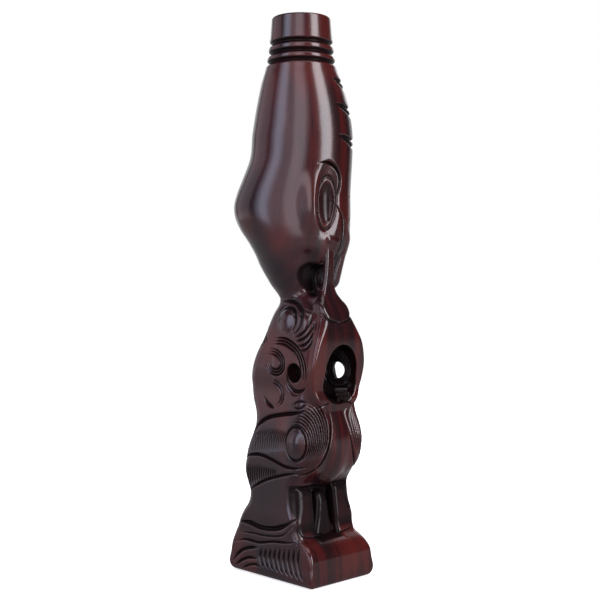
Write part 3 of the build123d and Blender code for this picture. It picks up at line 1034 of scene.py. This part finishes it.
# Wood colours: the body's brown and the front's red, each dark to light across the grain, then the
# dark streaks, the redder patches, the pores, the stain in the cuts, and the worn rims. The same near
# black is painted shade in the hollows and on the leg fronts, and the front's red against the brown is
# painted light
BROWN_DARK, BROWN_LIGHT = (0.008, 0.0028, 0.0042, 1), (0.032, 0.0068, 0.0086, 1)
RED_DARK, RED_LIGHT = (0.009, 0.0014, 0.002, 1), (0.05, 0.0044, 0.0036, 1)
STREAK = (0.005, 0.0018, 0.003, 1)
PATCH = (0.07, 0.0085, 0.0055, 1)
PORE = (0.004, 0.0018, 0.0025, 1)
STAIN_AND_SHADE = (0.003, 0.0018, 0.002, 1)
WORN = (0.14, 0.045, 0.025, 1)

# Where the brown gives way to the front's red, which is painted light, in metres towards the front, and
# how far clouds shift it
RED_FROM, RED_FULL = -0.018, -0.031
CLOUD_SHIFT = 0.012

FELT_DARK, FELT_LIGHT = (0.008, 0.008, 0.009, 1), (0.04, 0.039, 0.042, 1)
TABLE_LIT, TABLE_SEEN = (0.16, 0.15, 0.16, 1), (0.86, 0.86, 0.87, 1)
WHITE = (1, 1, 1, 1)
ROOM = (0.045, 0.042, 0.052, 1)


def lacquered_wood():
    """Dark red-brown wood under wood stain and gloss lacquer, near black in the cuts, with painted shade
    in the hollows and on the leg fronts, and a redder front as painted light.
    """
    n = Nodes("lacquered_wood")
    long_grain = n.place((1.0, 0.16, 0.07), (math.radians(3.0), math.radians(-2.0), 0.0))
    grain = n.remap(n.noise(long_grain, 110.0, 4.0, 0.55), 0.36, 0.66)
    streaks = n.noise(long_grain, 300.0, 3.0, 0.6)
    pores = n.noise(n.place((1.0, 0.5, 0.035)), 1500.0, 2.0, 0.5)
    clouds = n.noise(n.place((1.0, 1.0, 0.6)), 22.0, 2.0, 0.5)

    # Brown on the flanks and back, red towards the front: painted light, copying how light and reflections
    # fall on front and flanks
    brown = n.mix(grain, BROWN_DARK, BROWN_LIGHT)
    red = n.mix(grain, RED_DARK, RED_LIGHT)
    place = n.node("ShaderNodeSeparateXYZ")
    n.link(n.node("ShaderNodeTexCoord").outputs["Object"], place.inputs[0])
    front = n.math("ADD", place.outputs["Y"], n.math("MULTIPLY", clouds, CLOUD_SHIFT))
    wood = n.mix(n.remap(front, RED_FULL, RED_FROM, 1.0, 0.0), brown, red)
    wood = n.mix(n.remap(streaks, 0.5, 0.72, 0.0, 0.55), wood, STREAK)
    wood = n.mix(n.remap(clouds, 0.48, 0.68, 0.0, 0.65), wood, PATCH)
    wood = n.mix(n.remap(pores, 0.58, 0.7, 0.0, 0.4), wood, PORE)

    depth = n.node("ShaderNodeAttribute", attribute_name="cut_depth", attribute_type="GEOMETRY")
    cut = depth.outputs["Fac"]
    # Near black in the cuts, where the stain pools, and painted shade in the hollows and on the leg fronts
    stain_and_shade = n.remap(cut, 0.12, 0.8)
    wood = n.mix(n.math("MULTIPLY", stain_and_shade, 0.9), wood, STAIN_AND_SHADE)
    worn = n.remap(cut, -0.02, -0.35)
    wood = n.mix(n.math("MULTIPLY", worn, 0.12), wood, WORN)
    n.link(wood, n.shader.inputs["Base Color"])

    rough = n.math("ADD", n.remap(streaks, 0.3, 0.8, 0.42, 0.5), n.math("MULTIPLY", stain_and_shade, 0.2))
    n.link(rough, n.shader.inputs["Roughness"])
    n.shader.inputs["IOR"].default_value = 1.45
    n.shader.inputs["Specular IOR Level"].default_value = 0.05
    n.link(n.remap(stain_and_shade, 0.0, 1.0, 1.0, 0.22), n.shader.inputs["Coat Weight"])
    n.shader.inputs["Coat Roughness"].default_value = 0.19
    n.shader.inputs["Coat IOR"].default_value = 1.5
    n.bump(n.math("ADD", n.math("MULTIPLY", pores, -0.4), n.math("MULTIPLY", streaks, 0.6)), 0.12, 0.0004)
    return n.material


def felt():
    """Black wool felt."""
    n = Nodes("felt")
    fibres = n.noise(n.place((1.0, 1.0, 1.0)), 1400.0, 4.0, 0.7)
    matting = n.noise(n.place((1.0, 1.0, 1.0)), 240.0, 2.0, 0.5)
    n.link(n.mix(fibres, FELT_DARK, FELT_LIGHT), n.shader.inputs["Base Color"])
    n.shader.inputs["Roughness"].default_value = 0.95
    n.shader.inputs["Sheen Weight"].default_value = 0.4
    n.shader.inputs["Sheen Roughness"].default_value = 0.5
    n.bump(n.math("ADD", fibres, matting), 0.6, 0.0003)
    return n.material


def floor_material():
    """White table that glows as painted light, weaker near the figure so its real soft contact shadow
    shows, and which the camera sees brighter than the figure does.
    """
    n = Nodes("white_table")
    n.shader.inputs["Roughness"].default_value = 0.85
    n.shader.inputs["Emission Color"].default_value = WHITE
    spot = n.node("ShaderNodeVectorMath", operation="LENGTH")
    n.link(n.place((1.0, 1.0, 0.0)), spot.inputs[0])
    # Painted light: the table's glow, weakest near the figure and full beyond it
    glow = n.remap(spot.outputs["Value"], 0.1, 0.5, 0.62, 1.05)
    seen = n.node("ShaderNodeLightPath").outputs["Is Camera Ray"]
    n.link(n.mix(seen, TABLE_LIT, TABLE_SEEN), n.shader.inputs["Base Color"])
    glow = n.math("MULTIPLY", glow, n.remap(seen, 0.0, 1.0, 0.26, 1.0))
    n.link(glow, n.shader.inputs["Emission Strength"])
    return n.material


# ---------------------------------------------------------------- scene
CAMERA_AZIMUTH = math.radians(-44.0)
CAMERA_DISTANCE = 0.788
CAMERA_HEIGHT = 0.2075
CAMERA_PITCH = math.radians(-0.75)
CAMERA_LENS = 65.3
CAMERA_SENSOR = 36.0

LIGHT_TARGET = (0.0, 0.0, 0.21)


def around_camera(angle, distance, height):
    """Place at an angle round the figure, to the right of the camera when positive."""
    turn = CAMERA_AZIMUTH + math.radians(angle)
    return (distance * math.sin(turn), -distance * math.cos(turn), height)


# Softboxes: place, width and height, power, colour
SOFTBOXES = {
    "left_blue": (around_camera(-56, 1.3, 0.6), (0.7, 1.5), 5.5, (0.7, 0.76, 1.0)),
    "left_core": (around_camera(-54, 1.25, 0.6), (0.36, 1.4), 4.0, (0.74, 0.78, 1.0)),
    "front_fill": (around_camera(-17, 1.6, 0.75), (1.7, 1.6), 11.0, (1.0, 0.86, 0.96)),
    "front_core": (around_camera(-8, 1.55, 0.75), (0.7, 1.5), 6.0, (1.0, 0.86, 0.94)),
    "right_window": (around_camera(52, 1.3, 0.6), (0.6, 1.7), 29.0, (0.98, 0.95, 1.0)),
    "left_wrap": (around_camera(-106, 1.3, 0.4), (1.1, 1.3), 3.8, (1.0, 0.84, 0.94)),
    "overhead": ((0.0, -0.1, 1.6), (1.0, 1.0), 7.0, (1.0, 1.0, 1.0)),
    "backdrop": (around_camera(174, 1.5, 1.1), (1.6, 0.7), 5.0, (1.0, 0.98, 1.0)),
    "back_left": (around_camera(-155, 1.5, 0.4), (0.9, 1.4), 3.2, (1.0, 1.0, 1.0)),
    "back_right": (around_camera(155, 1.5, 0.4), (0.9, 1.4), 2.6, (1.0, 1.0, 1.0)),
}


def add_object(name, data):
    """New object in the scene."""
    piece = bpy.data.objects.new(name, data)
    bpy.context.scene.collection.objects.link(piece)
    return piece


def make_floor():
    """Table that the figure stands on. It is part of the stage, not of the figure."""
    reach = 4.0
    mesh = bpy.data.meshes.new("table")
    corners = [(-reach, -reach, 0), (reach, -reach, 0), (reach, reach, 0), (-reach, reach, 0)]
    mesh.from_pydata(corners, [], [(0, 1, 2, 3)])
    mesh.materials.append(floor_material())
    floor = add_object("table", mesh)


def make_lights():
    """Rectangular lamps, each aimed at the middle of the figure."""
    for name, (place, size, power, colour) in SOFTBOXES.items():
        lamp = bpy.data.lights.new(name, "AREA")
        lamp.shape = "RECTANGLE"
        lamp.size, lamp.size_y = size
        lamp.energy = power
        lamp.color = colour
        light = add_object(name, lamp)
        light.location = place
        light.rotation_euler = (Vector(LIGHT_TARGET) - Vector(place)).to_track_quat("-Z", "Y").to_euler()


def make_world():
    """White backdrop for the camera, dim room for everything else."""
    world = bpy.data.worlds.new("studio")
    bpy.context.scene.world = world
    world.use_nodes = True
    tree = world.node_tree
    room = tree.nodes["Background"]
    room.inputs["Color"].default_value = ROOM
    backdrop = tree.nodes.new("ShaderNodeBackground")
    backdrop.inputs["Color"].default_value = WHITE
    path = tree.nodes.new("ShaderNodeLightPath")
    mix = tree.nodes.new("ShaderNodeMixShader")
    tree.links.new(path.outputs["Is Camera Ray"], mix.inputs["Fac"])
    tree.links.new(room.outputs[0], mix.inputs[1])
    tree.links.new(backdrop.outputs[0], mix.inputs[2])
    tree.links.new(mix.outputs[0], tree.nodes["World Output"].inputs["Surface"])


def make_camera():
    """Camera at the figure's right front, level with its waist."""
    data = bpy.data.cameras.new("camera")
    data.lens = CAMERA_LENS
    data.sensor_width = CAMERA_SENSOR
    camera = add_object("camera", data)
    camera.location = around_camera(0, CAMERA_DISTANCE, CAMERA_HEIGHT)
    camera.rotation_euler = (math.pi / 2 + CAMERA_PITCH, 0.0, CAMERA_AZIMUTH)
    bpy.context.scene.camera = camera


def main():
    make_camera()
    figure = add_object("carved_figure_wood", figure_mesh())
    figure.data.materials.append(lacquered_wood())
    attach(figure, "root")
    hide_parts("carved_figure")

    pad = add_object("felt_pad_cloth", make_felt_pad())
    pad.data.materials.append(felt())
    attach(pad, "root")
    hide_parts("felt_pad")

    make_floor()
    make_lights()
    make_world()
    bpy.context.scene.view_settings.view_transform = "Standard"


main()
